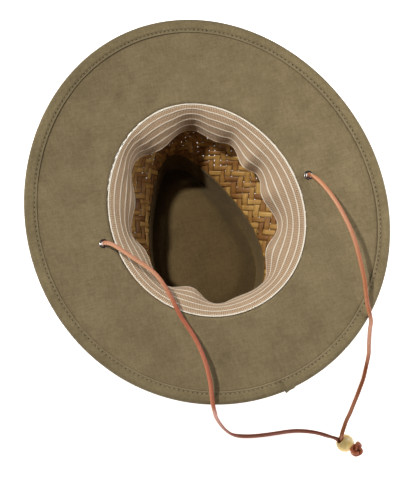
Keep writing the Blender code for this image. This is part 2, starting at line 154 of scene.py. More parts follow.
class Finish:
    """A Principled material, with one method that makes any node it needs."""

    def __init__(self, name, roughness, metallic=0.0, sheen=0.0, coat=0.0):
        self.material = bpy.data.materials.new(name)
        self.material.use_nodes = True
        self.tree = self.material.node_tree
        self.shader = self.tree.nodes["Principled BSDF"]
        self.shader.inputs["Roughness"].default_value = roughness
        self.shader.inputs["Metallic"].default_value = metallic
        self.shader.inputs["Sheen Weight"].default_value = sheen
        self.shader.inputs["Coat Weight"].default_value = coat

    def join(self, slot, value):
        if isinstance(value, Value):
            self.tree.links.new(value.socket, slot)
        elif isinstance(value, tuple) and len(value) == 3 and slot.type == "RGBA":
            slot.default_value = (*value, 1)
        else:
            slot.default_value = value

    def node(self, kind, settings=None, sockets=None, output=0):
        new = self.tree.nodes.new(kind)
        for key, value in (settings or {}).items():
            if key == "stops":
                ramp = new.color_ramp
                while len(ramp.elements) < len(value):
                    ramp.elements.new(0.5)
                for element, (place, colour) in zip(ramp.elements, value):
                    element.position = place
                    element.color = (*colour, 1)
            else:
                setattr(new, key, value)
        for key, value in (sockets or {}).items():
            self.join(new.inputs[key], value)
        return Value(self, new.outputs[output])

    def place(self, stretch=(1, 1, 1)):
        """Object coordinates, scaled along each axis."""
        spot = self.node("ShaderNodeTexCoord", output="Object")
        return self.node("ShaderNodeMapping", None, {"Vector": spot, "Scale": stretch})

    def noise(self, scale, detail=2.0, stretch=(1, 1, 1), vector=None):
        spot = vector or self.place(stretch)
        return self.node(
            "ShaderNodeTexNoise", None, {"Vector": spot, "Scale": scale, "Detail": detail}
        )

    def uv(self, axis):
        spot = self.node("ShaderNodeUVMap", {"uv_map": "UVMap"})
        return self.node("ShaderNodeSeparateXYZ", None, {"Vector": spot}, axis)

    def ramp(self, value, stops):
        return self.node("ShaderNodeValToRGB", {"stops": stops}, {"Fac": value})

    def mix(self, share, first, second, blend="MIX"):
        """Two colours mixed. A Mix node's colours are on its sockets 6 and 7, its result on 2."""
        settings = {"data_type": "RGBA", "blend_type": blend}
        return self.node("ShaderNodeMix", settings, {0: share, 6: first, 7: second}, 2)

    def bump(self, height, strength, distance):
        normal = self.node(
            "ShaderNodeBump", None, {"Height": height, "Strength": strength, "Distance": distance}
        )
        self.join(self.shader.inputs["Normal"], normal)

    def colour(self, value):
        self.join(self.shader.inputs["Base Color"], value)

    def colour_so_far(self):
        """The colour that is linked in now, to be drawn over."""
        return Value(self, self.shader.inputs["Base Color"].links[0].from_socket)

    def roughness(self, value):
        self.join(self.shader.inputs["Roughness"], value)


floor_finish = Finish("pale floor", 0.9)
floor_finish.colour((FLOOR_TONE, FLOOR_TONE, FLOOR_TONE))
floor_finish.shader.inputs["Emission Color"].default_value = (1, 1, 1, 1)
floor_finish.shader.inputs["Emission Strength"].default_value = FLOOR_GLOW
bm = bmesh.new()
bmesh.ops.create_grid(bm, x_segments=1, y_segments=1, size=FLOOR_REACH)
mesh = bpy.data.meshes.new("floor")
bm.to_mesh(mesh)
bm.free()
mesh.materials.append(floor_finish.material)
floor = bpy.data.objects.new("floor", mesh)
bpy.context.scene.collection.objects.link(floor)
floor.location.z = -FLOOR_DROP


# The chin cord: a flat leather lace, tan on its grain side and red-brown on its cut edges and
# back. It leaves each eyelet, crosses the brim, drops to the table and runs to the bead.

LACE_WIDTH = 0.0036
LACE_THICK = 0.0022
LACE_STEP = 0.0016
LACE_SIDES = 20
LEFT_LENGTH = 0.410
RIGHT_LENGTH = 0.355
MERGE = 0.00001

LEFT_ROUTE = (
    # x, y, z, twist in degrees
    (-0.0946, -0.0030, 0.1106, 0),
    (-0.0944, -0.0032, 0.1130, 0),
    (-0.0926, -0.0045, 0.1158, 2),
    (-0.0889, -0.0080, 0.1180, 8),
    (-0.0827, -0.0160, 0.1199, 14),
    (-0.0714, -0.0314, 0.1219, 16),
    (-0.0621, -0.0452, 0.1227, 20),
    (-0.0578, -0.0574, 0.1220, 30),
    (-0.0544, -0.0742, 0.1206, 42),
    (-0.0522, -0.0874, 0.1195, 46),
    (-0.0488, -0.1000, 0.1198, 46),
    (-0.0464, -0.1134, 0.1212, 44),
    (-0.0453, -0.1262, 0.1218, 40),
    (-0.0455, -0.1391, 0.1206, 36),
    (-0.0469, -0.1520, 0.1181, 32),
    (-0.0487, -0.1608, 0.1162, 30),
    (-0.0496, -0.1682, 0.1130, 30),
    (-0.0489, -0.1707, 0.1063, 30),
    (-0.0463, -0.1709, 0.0853, 32),
    (-0.0419, -0.1711, 0.0589, 34),
    (-0.0359, -0.1728, 0.0320, 38),
    (-0.0300, -0.1752, 0.0130, 42),
    (-0.0235, -0.1785, 0.0038, 44),
    (-0.0150, -0.1818, 0.0021, 44),
    (-0.0018, -0.1852, 0.0021, 44),
    (0.0133, -0.1878, 0.0021, 44),
    (0.0280, -0.1903, 0.0021, 44),
    (0.0417, -0.1954, 0.0036, 44),
    (0.0502, -0.2006, 0.0062, 50),
    (0.0573, -0.2064, 0.0094, 54),
    (0.0621, -0.2107, 0.0118, 50),
    (0.0640, -0.2124, 0.0104, 10),
    (0.0675, -0.2156, 0.0067, 0),
    (0.0712, -0.2191, 0.0027, 0),
)
RIGHT_ROUTE = (
    # x, y, z, twist in degrees
    (0.0968, 0.0049, 0.1107, 0),
    (0.0970, 0.0045, 0.1132, 0),
    (0.0980, 0.0025, 0.1163, 4),
    (0.1004, -0.0027, 0.1196, 12),
    (0.1040, -0.0127, 0.1228, 20),
    (0.1069, -0.0240, 0.1254, 24),
    (0.1092, -0.0368, 0.1271, 26),
    (0.1107, -0.0500, 0.1282, 27),
    (0.1114, -0.0636, 0.1284, 28),
    (0.1110, -0.0765, 0.1275, 30),
    (0.1101, -0.0895, 0.1254, 33),
    (0.1090, -0.1023, 0.1224, 36),
    (0.1071, -0.1132, 0.1191, 39),
    (0.1056, -0.1218, 0.1170, 41),
    (0.1050, -0.1295, 0.1149, 42),
    (0.1060, -0.1342, 0.1072, 43),
    (0.1080, -0.1368, 0.0877, 44),
    (0.1111, -0.1395, 0.0587, 45),
    (0.1141, -0.1434, 0.0300, 46),
    (0.1149, -0.1477, 0.0120, 46),
    (0.1121, -0.1539, 0.0038, 42),
    (0.1062, -0.1635, 0.0021, 38),
    (0.1008, -0.1702, 0.0022, 34),
    (0.0953, -0.1767, 0.0035, 30),
    (0.0884, -0.1842, 0.0075, 26),
    (0.0813, -0.1919, 0.0125, 24),
    (0.0747, -0.1984, 0.0165, 22),
    (0.0695, -0.2048, 0.0180, 20),
    (0.0665, -0.2090, 0.0172, 18),
    (0.0661, -0.2125, 0.0133, 12),
    (0.0699, -0.2160, 0.0093, 6),
    (0.0736, -0.2195, 0.0053, 0),
)


def smooth_route(points, spacing):
    """Points at an even spacing on a natural cubic spline through the route's own points.

    Columns after the third, such as a twist, are carried along.
    """
    points = np.array(points, dtype=float)
    spans = np.linalg.norm(np.diff(points[:, :3], axis=0), axis=1)
    count = len(points)
    matrix = np.eye(count)
    change = np.zeros(points.shape)
    for i in range(1, count - 1):
        matrix[i, i - 1 : i + 2] = spans[i - 1], 2 * (spans[i - 1] + spans[i]), spans[i]
        ahead = (points[i + 1] - points[i]) / spans[i]
        behind = (points[i] - points[i - 1]) / spans[i - 1]
        change[i] = 6 * (ahead - behind)
    bend = np.linalg.solve(matrix, change)
    fine = []
    for i in range(count - 1):
        for u in np.linspace(0, 1, 12, endpoint=i == count - 2):
            v = 1 - u
            lean = (v**3 - v) * bend[i] + (u**3 - u) * bend[i + 1]
            fine.append(v * points[i] + u * points[i + 1] + lean * spans[i] ** 2 / 6)
    fine = np.array(fine)
    steps = np.linalg.norm(np.diff(fine[:, :3], axis=0), axis=1)
    along = np.concatenate([[0], np.cumsum(steps)])
    stops = np.linspace(0, along[-1], round(along[-1] / spacing) + 1)
    return np.stack([np.interp(stops, along, column) for column in fine.T], axis=1)


def grid_sheet(around, across, place, close=True):
    """A grid whose points are moved to place(u, v), with its UV map. It is closed where it meets."""
    bm = bmesh.new()
    uv_layer = bm.loops.layers.uv.new("UVMap")
    bmesh.ops.create_grid(bm, x_segments=around, y_segments=across, size=0.5, calc_uvs=True)
    for face in bm.faces:
        for loop in face.loops:
            loop[uv_layer].uv = (loop.vert.co.x + 0.5, loop.vert.co.y + 0.5)
    for vert in bm.verts:
        vert.co = place(vert.co.x + 0.5, vert.co.y + 0.5)
    if close:
        bmesh.ops.remove_doubles(bm, verts=bm.verts, dist=MERGE)
    return bm


def add_piece(name, bm, finish):
    """Make a finished bmesh an object that rides on the hat."""
    for face in bm.faces:
        face.smooth = True
    mesh = bpy.data.meshes.new(name)
    bm.to_mesh(mesh)
    bm.free()
    mesh.materials.append(finish.material)
    piece = bpy.data.objects.new(name, mesh)
    bpy.context.scene.collection.objects.link(piece)
    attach(piece, "root")
    return piece


def lace_frames(route):
    """Place, face normal and width direction at each point of a twisting lace."""
    places = route[:, :3]
    ways = np.gradient(places, axis=0)
    frames = []
    for place, way, twist in zip(places, ways, np.radians(route[:, 3])):
        along = Vector(way).normalized()
        out = Vector((place[0], place[1], 0)).normalized()
        level = math.hypot(along.x, along.y)
        normal = Vector((0, 0, 1)) * level + out * abs(along.z)
        normal = (normal - along * normal.dot(along)).normalized()
        normal = Matrix.Rotation(twist, 3, along) @ normal
        frames.append((Vector(place), normal, normal.cross(along)))
    return frames


def lace_outline(turn):
    """A point of the lace's rounded, flat section, as shares of its width and thickness."""
    x, y = math.cos(turn), math.sin(turn)
    return math.copysign(abs(x) ** 0.45, x) / 2, math.copysign(abs(y) ** 0.5, y) / 2


def make_lace(name, route, width, thick, finish):
    """A flat lace along a route, with its two ends closed."""
    frames = lace_frames(route)
    last = len(frames) - 1

    def place(u, v):
        spot, normal, side = frames[round(v * last)]
        across, up = lace_outline(2 * math.pi * u)
        return spot + side * across * width + normal * up * thick

    bm = grid_sheet(LACE_SIDES, last, place)
    bmesh.ops.holes_fill(bm, edges=bm.edges, sides=0)
    bmesh.ops.recalc_face_normals(bm, faces=bm.faces)
    return add_piece(name, bm, finish)


def leather(name, stops):
    """Two-faced leather whose grain side changes colour along the lace as its colour table gives,
    with painted shade along one long side.
    """
    finish = Finish(name, 0.5, sheen=0.05)
    face = (finish.uv("X") * (2 * math.pi)).math("SINE")
    side = (face * 3 + 0.5).clipped()
    edge = (1 - face.math("ABSOLUTE") * 1.5).clipped()
    grain = finish.noise(1100, 4.0)
    cloud = finish.noise(110, 3.0)
    top = finish.ramp(finish.uv("Y"), stops)
    top = finish.mix(cloud * 0.5, top, (0.95, 0.80, 0.66), "MULTIPLY")
    under = finish.mix(1.0, top, (0.62, 0.40, 0.36), "MULTIPLY")
    # Painted shade: one long side of the grain face is mixed towards the darker back colour.
    across = ((finish.uv("X") + 0.25) * (2 * math.pi)).math("SINE")
    top = finish.mix((across * 2.5 + 0.4).clipped() * 0.7, top, under)
    body = finish.mix(side, under, top)
    body = finish.mix(edge * 0.85, body, under)
    finish.colour(finish.mix((grain * 1.6 - 0.45).clipped() * 0.5, body, (0.20, 0.05, 0.02)))
    finish.roughness(grain * 0.25 + 0.38)
    finish.bump(grain + cloud * 0.6, 0.45, 0.0005)
    return finish


LACE_COLOURS = {
    "left": (
        (0.0, (0.86, 0.46, 0.26)),
        (0.15, (0.84, 0.44, 0.25)),
        (0.23, (0.64, 0.20, 0.10)),
        (0.55, (0.66, 0.23, 0.115)),
        (0.70, (0.44, 0.14, 0.07)),
        (1.0, (0.30, 0.085, 0.045)),
    ),
    "right": (
        (0.0, (0.86, 0.46, 0.26)),
        (0.12, (0.80, 0.39, 0.20)),
        (0.30, (0.66, 0.27, 0.12)),
        (0.75, (0.60, 0.23, 0.09)),
        (1.0, (0.56, 0.22, 0.09)),
    ),
    "knot": (
        (0.0, (0.56, 0.20, 0.065)),
        (1.0, (0.56, 0.20, 0.065)),
    ),
}
leathers = {key: leather(key + " leather", stops) for key, stops in LACE_COLOURS.items()}


# The hat's forms: the same oval, crown and brim curves as its solids, so that each cloth piece
# lies where the solid that it replaces is.

HEAD_LENGTH = 0.2000
HEAD_WIDTH = 0.1718
HEAD_EGG = -0.05
CROWN_HEIGHT = 0.1100
CROWN_DENT = 0.0200
CANVAS = 0.0016
STRAW = 0.0020
STRAW_FOOT = 0.0300
SKIRT_LAP = 0.0080
BRIM_REACH_FRONT = 0.0700
BRIM_REACH_BACK = 0.0751
BRIM_REACH_SIDE = 0.0720
BRIM_EGG = -0.03
BRIM_RISE_FRONT = 0.0230
BRIM_RISE_SIDE = 0.0067
BRIM_RISE_BACK = -0.0027
BRIM_CURL = 1.3
BRIM = 0.0020
TAPE = 0.0009
GAP = 0.0003
OPENING_Y = (BRIM_REACH_BACK - BRIM_REACH_FRONT) / 2
TAPE_NOSE = BRIM / 2 + GAP + TAPE

CROWN_SECTIONS = (
    # depth, reach, width, egg
    (0.00, 1.029, 1.033, -0.05),
    (0.25, 0.995, 0.985, -0.08),
    (0.50, 0.940, 0.860, -0.20),
    (0.727, 0.842, 0.588, -0.36),
    (0.82, 0.795, 0.556, -0.38),
    (0.90, 0.757, 0.521, -0.38),
    (0.96, 0.722, 0.490, -0.37),
    (0.99, 0.698, 0.468, -0.35),
    (1.00, 0.680, 0.452, -0.34),
)
DENT_SECTIONS = (
    # step inwards, rise, reach, width, egg
    (0.00, 0.00, 0.680, 0.452, -0.34),
    (0.08, 0.00, 0.652, 0.424, -0.34),
    (0.16, 0.10, 0.642, 0.412, -0.34),
    (0.30, 0.45, 0.628, 0.396, -0.33),
    (0.44, 0.80, 0.608, 0.378, -0.31),
    (0.54, 0.95, 0.575, 0.350, -0.30),
    (0.74, 1.02, 0.370, 0.225, -0.30),
    (1.00, 1.06, 0.000, 0.000, -0.30),
)


def oval(reach, width, egg, angle):
    return (
        width * math.sin(angle) * (1 + egg * math.cos(angle)),
        reach * math.cos(angle),
    )


def read_table(table, share):
    """The columns of a table at a share of its first column, on a smooth curve through its rows."""
    rows = np.array(table)
    places = rows[:, 0]
    slopes = np.gradient(rows[:, 1:], places, axis=0)
    i = int(np.clip(np.searchsorted(places, share) - 1, 0, len(places) - 2))
    span = places[i + 1] - places[i]
    u = (share - places[i]) / span
    return (
        rows[i, 1:] * (2 * u**3 - 3 * u**2 + 1)
        + rows[i + 1, 1:] * (3 * u**2 - 2 * u**3)
        + slopes[i] * span * (u**3 - 2 * u**2 + u)
        + slopes[i + 1] * span * (u**3 - u**2)
    )


CROWN_FORM = np.array([read_table(CROWN_SECTIONS, share) for share in np.linspace(0, 1, 441)])


def crown_point(height, angle):
    """A point on the outside of the crown's side."""
    row = min(max(1 - height / CROWN_HEIGHT, 0.0), 1.0) * (len(CROWN_FORM) - 1)
    low = min(int(row), len(CROWN_FORM) - 2)
    reach, width, egg = CROWN_FORM[low] + (row - low) * (CROWN_FORM[low + 1] - CROWN_FORM[low])
    x, y = oval(reach * HEAD_LENGTH / 2, width * HEAD_WIDTH / 2, egg, angle)
    return Vector((x, y + OPENING_Y, height))


def crown_inside(height, angle, inset):
    """A point inside the crown's side, square to the wall."""
    step = 0.001
    low = crown_point(max(height - step, 0), angle)
    high = crown_point(min(height + step, CROWN_HEIGHT), angle)
    around = crown_point(height, angle + 0.01) - crown_point(height, angle - 0.01)
    normal = (high - low).cross(around).normalized()
    spot = crown_point(height, angle)
    if normal.dot(Vector((spot.x, spot.y, 0))) < 0:
        normal = -normal
    return spot - normal * inset


def opening_point(angle, inset=0.0):
    x, y = oval(HEAD_LENGTH / 2, HEAD_WIDTH / 2, HEAD_EGG, angle)
    shrink = 1 - inset / math.hypot(x, y)
    return x * shrink, y * shrink + OPENING_Y


def brim_point(share, angle):
    """A point of the brim's upper face: share 0 at the head opening and 1 at the cloth's edge."""
    length = (HEAD_LENGTH + BRIM_REACH_FRONT + BRIM_REACH_BACK) / 2 - TAPE_NOSE
    width = HEAD_WIDTH / 2 + BRIM_REACH_SIDE - TAPE_NOSE
    outer_x, outer_y = oval(length, width, BRIM_EGG, angle)
    inner_x, inner_y = opening_point(angle)
    ends = (BRIM_RISE_FRONT + BRIM_RISE_BACK) / 2
    swing = (BRIM_RISE_FRONT - BRIM_RISE_BACK) / 2
    rise = (
        (ends + BRIM_RISE_SIDE) / 2
        + swing * math.cos(angle)
        + (ends - BRIM_RISE_SIDE) / 2 * math.cos(2 * angle)
    )
    return Vector((
        inner_x + share * (outer_x - inner_x),
        inner_y + share * (outer_y - inner_y),
        CROWN_HEIGHT + rise * max(share, 0.0) ** BRIM_CURL,
    ))


def brim_frame(share, angle):
    """Outward direction along the brim's face, and the face's upward normal."""
    step = 0.001
    outward = brim_point(share + step, angle) - brim_point(share - step, angle)
    around = brim_point(share, angle + step) - brim_point(share, angle - step)
    return outward.normalized(), around.cross(outward).normalized()


def add_wall(piece, thickness, offset):
    wall = piece.modifiers.new("wall", "SOLIDIFY")
    wall.thickness = thickness
    wall.offset = offset
    wall.use_even_offset = True


# The brim: olive cotton canvas, a little uneven, with painted shade beside the binding where its
# stitches press a crease, and pierced on each side of the crown for the eyelets.

EYELETS = {
    # side: angle in degrees, distance out from the head opening
    "left": (267.1, 0.0087),
    "right": (88.8, 0.0110),
}
EYELET_BARREL = 0.0029
BRIM_WAVE = 0.0008
BRIM_AROUND = 240
BRIM_ACROSS = 24
TAPE_CREASE = 0.878
HOLE_SIDES = 40


def canvas(name, tint=(1, 1, 1)):
    """Plain-woven cotton canvas: slubbed threads both ways over a washed, clouded dye.

    The tint is a share of the brim's own red, green and blue.
    """
    finish = Finish(name, 0.88, sheen=0.08)
    warp = finish.noise(1.0, 3.0, (760, 130, 300))
    weft = finish.noise(1.0, 3.0, (130, 760, 300))
    cloud = finish.noise(42, 6.0)
    fleck = finish.noise(520, 2.0)
    dark = tuple(a * b for a, b in zip(tint, (0.128, 0.093, 0.042)))
    light = tuple(a * b for a, b in zip(tint, (0.300, 0.232, 0.124)))
    thread = (warp + weft) * 0.5
    shade = (thread * 1.25 + cloud * 0.75 + fleck * 0.4 - 0.70).clipped()
    finish.colour(finish.mix(shade, dark, light))
    finish.bump(thread + fleck * 0.4, 0.5, 0.0007)
    return finish


def brim_finish():
    """The canvas, with painted shade along the crease that the binding's stitches press in beside the
    tape.
    """
    finish = canvas("brim canvas")
    off = (finish.uv("Y") - TAPE_CREASE).math("ABSOLUTE")
    # Painted shade: a darker band along the crease beside the binding tape.
    crease_shade = (1 - off * 110 + finish.noise(260, 2.0) * 0.8 - 0.4).clipped()
    finish.colour(finish.mix(crease_shade * 0.4, finish.colour_so_far(), (0.060, 0.035, 0.012)))
    return finish


def brim_surface(u, v):
    angle = 2 * math.pi * u
    spot = brim_point(v, angle)
    wave = noise(Vector((spot.x * 22, spot.y * 22, 0.3)))
    wave += 0.5 * noise(Vector((spot.x * 55, spot.y * 55, 4)))
    fade = math.sin(math.pi * min(max(v, 0), 1)) ** 0.5
    pucker = math.exp(-((v / 0.10) ** 2)) * noise(Vector((angle * 14, 0, 7))) * 0.9
    spot.z += BRIM_WAVE * (wave * fade + pucker * min(v * 30, 1))
    return spot


def face_out(piece, is_right):
    """Turn the faces consistently, and over if a test of the mesh finds them inside out."""
    bm = bmesh.new()
    bm.from_mesh(piece.data)
    bmesh.ops.recalc_face_normals(bm, faces=bm.faces)
    if not is_right(bm):
        bmesh.ops.reverse_faces(bm, faces=bm.faces)
    bm.to_mesh(piece.data)
    bm.free()


brim_sheet = grid_sheet(BRIM_AROUND, BRIM_ACROSS, brim_surface)
brim = add_piece("brim_canvas", brim_sheet, brim_finish())
face_out(brim, lambda bm: sum(face.normal.z for face in bm.faces) > 0)
add_wall(brim, BRIM, -1)


def eyelet_place(side):
    degrees, reach = EYELETS[side]
    angle = math.radians(degrees)
    x, y = opening_point(angle, -reach)
    inner = brim_point(0, angle)
    outer = brim_point(1, angle)
    share = reach / math.hypot(outer.x - inner.x, outer.y - inner.y)
    normal = brim_frame(share, angle)[1]
    turn = normal.to_track_quat("Z", "Y").to_matrix().to_4x4()
    return Matrix.Translation((x, y, brim_point(share, angle).z)) @ turn


def pierce(piece, side):
    """Cut the eyelet's hole through a piece and keep the result as its mesh."""
    bm = bmesh.new()
    bmesh.ops.create_cone(
        bm, cap_ends=True, segments=HOLE_SIDES, radius1=EYELET_BARREL, radius2=EYELET_BARREL,
        depth=10 * BRIM, matrix=eyelet_place(side),
    )
    mesh = bpy.data.meshes.new("cutter")
    bm.to_mesh(mesh)
    bm.free()
    cutter = bpy.data.objects.new("cutter", mesh)
    bpy.context.scene.collection.objects.link(cutter)
    hole = piece.modifiers.new("hole", "BOOLEAN")
    hole.object = cutter
    bpy.context.view_layer.update()
    solid = piece.evaluated_get(bpy.context.evaluated_depsgraph_get())
    piece.data = bpy.data.meshes.new_from_object(solid)
    piece.modifiers.clear()
    bpy.data.objects.remove(cutter)


for side in EYELETS:
    pierce(brim, side)
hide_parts("brim")


# The binding: a folded cotton tape over the brim's edge, lapped where its ends meet at the back,
# and sewn through with one row of stitches, which shows on both faces.

TAPE_WIDTH = 0.0080
TAPE_START = math.radians(171.8)
TAPE_LAP = math.radians(3.0)
TAPE_FLARE = 0.0011
TAPE_STITCH = 0.0021
TAPE_PUFF = 0.0007
TAPE_PULL = 0.0004
TAPE_PULL_REACH = 0.0009
TAPE_CLOTH = TAPE * 0.9
TAPE_TURN = 2 * math.pi + TAPE_LAP
TAPE_NOSE_RUN = math.pi * (BRIM / 2 + GAP + TAPE)
TAPE_ROWS = 40
STITCHES = 243
STITCH_LENGTH = 0.0031
STITCH_WIDTH = 0.0008
STITCH_RUN = TAPE_STITCH / (2 * TAPE_WIDTH + math.pi * (BRIM / 2 + GAP + TAPE_CLOTH))


def tape_lift(turned):
    """How far the tape stands off where its end laps over its start."""
    into = (turned - 2 * math.pi) / TAPE_LAP
    flare = TAPE_FLARE * max(0.0, into * 1.6 - 0.6) ** 2
    return TAPE * 1.05 * min(max(into * 6 + 0.5, 0.0), 1.0) + flare


def tape_point(turned, round_by):
    """A point on the tape's outer face, from its upper inner edge (0) to its lower one (1)."""
    angle = TAPE_START + turned
    edge = brim_point(1, angle)
    length = (edge - brim_point(0, angle)).length
    total = 2 * TAPE_WIDTH + TAPE_NOSE_RUN
    run = round_by * total
    inside = min(run, total - run)
    puff = max(0.0, (inside - TAPE_STITCH) / (total / 2 - TAPE_STITCH))
    swell = math.sin(math.pi * puff**0.6) if puff < 0.5 else 1.0
    pull = math.exp(-((inside - TAPE_STITCH) / TAPE_PULL_REACH) ** 2)
    pull *= 0.7 + 0.3 * math.cos(STITCHES * turned)
    lift = GAP + TAPE_CLOTH + tape_lift(turned) + TAPE_PUFF * swell - TAPE_PULL * pull
    if inside < TAPE_WIDTH:
        share = 1 - (TAPE_WIDTH - inside) / length
        rise = lift if run < TAPE_WIDTH else -BRIM - lift
        return brim_point(share, angle) + brim_frame(share, angle)[1] * rise
    outward, normal = brim_frame(1, angle)
    turn = (run - TAPE_WIDTH) / TAPE_NOSE_RUN * math.pi
    middle = edge - normal * BRIM / 2
    return middle + (outward * math.sin(turn) + normal * math.cos(turn)) * (BRIM / 2 + lift)


def tape_finish():
    """The brim's canvas, pulled in along the stitch line and pierced between the stitches, with
    painted shade in the holes, along the stitch line and towards the tape's nose.
    """
    finish = canvas("binding tape", (1.03, 1.05, 1.03))
    beat = (finish.uv("X") * (TAPE_TURN / (2 * math.pi) * STITCHES)).math("FRACT") - 0.5
    off = (finish.uv("Y") - 0.5).math("ABSOLUTE") - (0.5 - STITCH_RUN)
    uneven = finish.noise(170, 1.0)
    # Painted shade: dark spots in the holes between the stitches.
    hole = (0.55 + uneven * 1.1 - beat.math("ABSOLUTE") * 6 - off.math("ABSOLUTE") * 30).clipped()
    stitch_line_shade = (1 - off.math("ABSOLUTE") * 16).clipped()
    from_nose = (finish.uv("Y") - 0.5).math("ABSOLUTE")
    rim = (1 - from_nose * 5).clipped()
    # Painted shade: darker along the stitch line and towards the tape's nose at the brim's edge.
    shaded_tape = finish.mix(stitch_line_shade * 0.2 + rim * 0.35, finish.colour_so_far(), (0.05, 0.035, 0.015))
    fold = ((from_nose - 0.474) * 90).clipped()
    shaded_tape = finish.mix(fold * 0.45, shaded_tape, (0.42, 0.35, 0.22))
    finish.colour(finish.mix((hole * 2).clipped(), shaded_tape, (0.018, 0.012, 0.005)))
    return finish


tape_sheet = grid_sheet(
    4 * STITCHES, TAPE_ROWS, lambda u, v: tape_point(u * TAPE_TURN, v), close=False
)
tape = add_piece("binding_tape", tape_sheet, tape_finish())
add_wall(tape, TAPE_CLOTH, -1)
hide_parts("brim_binding")


def add_stitches(name, places, length, width, finish):
    """Small rounded threads, each lying along a direction on a face with the normal given."""
    bm = bmesh.new()
    for spot, way, normal in places:
        side = normal.cross(way).normalized()
        turn = Matrix((way, side, normal)).transposed().to_4x4()
        shape = Matrix.Diagonal((length / 2, width / 2, width / 2, 1))
        bmesh.ops.create_icosphere(
            bm, subdivisions=1, radius=1.0, matrix=Matrix.Translation(spot) @ turn @ shape
        )
    return add_piece(name, bm, finish)


thread_finish = Finish("sewing thread", 0.7, sheen=0.2)
thread_finish.colour(
    thread_finish.mix(thread_finish.noise(700), (0.24, 0.19, 0.11), (0.36, 0.30, 0.19))
)

stitches = []
for side_run in (STITCH_RUN, 1 - STITCH_RUN):
    for step in range(STITCHES):
        turned = 2 * math.pi * step / STITCHES
        if side_run == STITCH_RUN and turned < TAPE_LAP * 1.05:
            turned += 2 * math.pi
        here = tape_point(turned, side_run)
        after = tape_point(turned + 0.004, side_run)
        beside = tape_point(turned, side_run + 0.01)
        way = (after - here).normalized()
        normal = way.cross((beside - here).normalized())
        if (normal.z < 0) == (side_run == STITCH_RUN):
            normal = -normal
        stitches.append((here, way, normal))
binding_stitches = add_stitches(
    "binding_stitches", stitches, STITCH_LENGTH, STITCH_WIDTH, thread_finish
)


# The straw band: a flat sheet of split seagrass, plaited over two and under two, that is bent
# round into a cone, so the strips lie square to the brim on one side and on the slant elsewhere.
# Its gaps are open and its seam is at the back.

STRIP = 0.0047
STRIP_FILL = 0.94
STRIP_THICK = 0.0005
STRIP_LIFT = 0.00042
STRIP_ARCH = 0.00022
STRIP_STATIONS = 4
STRIP_TURN = math.radians(-27.0)
WEFT_NUMBERS = 1000
STRAW_INSET = CANVAS + GAP
STRAW_MIDDLE = STRAW_INSET + STRAW / 2
STRAW_TOP = CROWN_HEIGHT - BRIM - 2 * GAP
SEAM = math.pi


def straw_spot(turn, depth, inset):
    """A point in the straw wall: depth 0 at the brim and 1 at the wall's foot."""
    return crown_inside(STRAW_TOP + (STRAW_FOOT - STRAW_TOP) * depth, turn, inset)


def ring_run(depth):
    """The length run round the straw wall from its seam, at even angles."""
    ring = [straw_spot(SEAM + 2 * math.pi * i / 360, depth, STRAW_MIDDLE) for i in range(361)]
    return np.cumsum([0] + [(b - a).length for a, b in zip(ring, ring[1:])])


straw_round = ring_run(0.5) / ring_run(0.5)[-1]
straw_slant = np.mean([
    (straw_spot(i, 0, STRAW_MIDDLE) - straw_spot(i, 1, STRAW_MIDDLE)).length for i in range(60)
])
straw_cone = (ring_run(0)[-1] - ring_run(1)[-1]) / (2 * math.pi * straw_slant)
straw_radius = ring_run(0)[-1] / (2 * math.pi * straw_cone)


def unrolled(x, y):
    """Where a point of the flat sheet lies on the wall: share of the turn, and depth."""
    share = math.atan2(y, x) / (2 * math.pi * straw_cone) + 0.5
    return share, (straw_radius - math.hypot(x, y)) / straw_slant


def add_strip(bm, layers, number, along_way, across_way, centre, swap):
    """One strip of the sheet, cut off where the wall ends. Its number picks its shade."""
    uv_layer, tone_layer = layers
    reach = straw_radius + STRIP
    count = round(2 * reach / STRIP * STRIP_STATIONS)
    rows = []
    for i in range(count + 1):
        run = -reach + i * STRIP / STRIP_STATIONS
        x, y = along_way * run + across_way * centre * STRIP
        share, depth = unrolled(x, y)
        if not (-0.02 < share < 1.02 and -0.1 < depth < 1.1):
            rows.append(None)
            continue
        beat = run / STRIP - 0.5
        other = centre - 0.5
        over = beat - other if swap else other - beat
        lift = math.sin(math.pi / 2 * (over + 0.5)) * (1 if swap else -1)
        lift = max(-1.0, min(1.0, 1.5 * lift)) * STRIP_LIFT
        wander = noise(Vector((run * 40, number * 3.1, 0.5)))
        thin = max(0.0, abs(noise(Vector((run * 60, number * 5.3, 9)))) - 0.12)
        width = STRIP_FILL * (1 - 0.6 * thin)
        row = []
        for j in range(4):
            side = (j / 3 - 0.5) * width
            x, y = along_way * run + across_way * (centre + side + 0.05 * wander) * STRIP
            share, depth = unrolled(x, y)
            share, depth = min(max(share, 0.0), 1.0), min(max(depth, 0.0), 1.0)
            turn = SEAM + math.radians(float(np.interp(share, straw_round, range(361))))
            arch = STRIP_ARCH * (1 - (2 * side / width) ** 2)
            spot = straw_spot(turn, depth, STRAW_MIDDLE + lift + arch)
            row.append((bm.verts.new(spot), j / 3, run / STRIP, share, depth))
        rows.append(row)
    for first, second in zip(rows, rows[1:]):
        if first is None or second is None:
            continue
        for j in range(3):
            corners = (first[j], first[j + 1], second[j + 1], second[j])
            if any(0 < c[3] < 1 and 0 < c[4] < 1 for c in corners):
                face = bm.faces.new([c[0] for c in corners])
                face[tone_layer] = number
                for loop, corner in zip(face.loops, corners):
                    loop[uv_layer].uv = (corner[1], corner[2])


